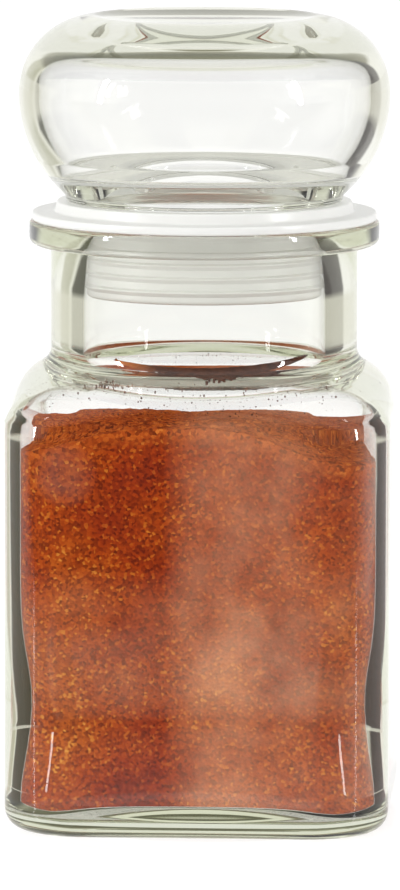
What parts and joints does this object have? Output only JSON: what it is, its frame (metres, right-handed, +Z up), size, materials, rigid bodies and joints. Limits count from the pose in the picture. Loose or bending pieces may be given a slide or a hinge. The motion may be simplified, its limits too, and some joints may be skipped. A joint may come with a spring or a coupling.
{
  "type": "spice jar",
  "caption": "Square glass spice jar with a round neck, a finned plastic seal and a hollow glass stopper knob, holding ground spice.",
  "frame": {"origin": "middle of the flat ring that the jar stands on", "axes": "+Z up along the axis of the neck and stopper, -Y towards the front face, +X to the right"},
  "size_m": [0.051, 0.051, 0.1073],
  "materials": {
    "jar_glass": "clear pale grey-green soda glass, fire polished",
    "knob_glass": "clear blown soda glass, fire polished",
    "seal_plastic": "milky translucent moulded polyethylene",
    "spice": "ground reddish brown spice with fine grains"
  },
  "bodies": {
    "jar": {"jar_body": "jar_glass", "spice_fill": "spice"},
    "seal": {"stopper_seal": "seal_plastic"},
    "knob": {"stopper_knob": "knob_glass"}
  },
  "joints": [
    {"name": "stopper_lift", "type": "slide", "parent": "jar", "child": "seal", "axis": [0, 0, 1], "range_m": [0, 0.05]},
    {"name": "knob_turn", "type": "hinge", "parent": "seal", "child": "knob", "pos_m": [0, 0, 0.0826], "axis": [0, 0, 1], "continuous": true}
  ]
}
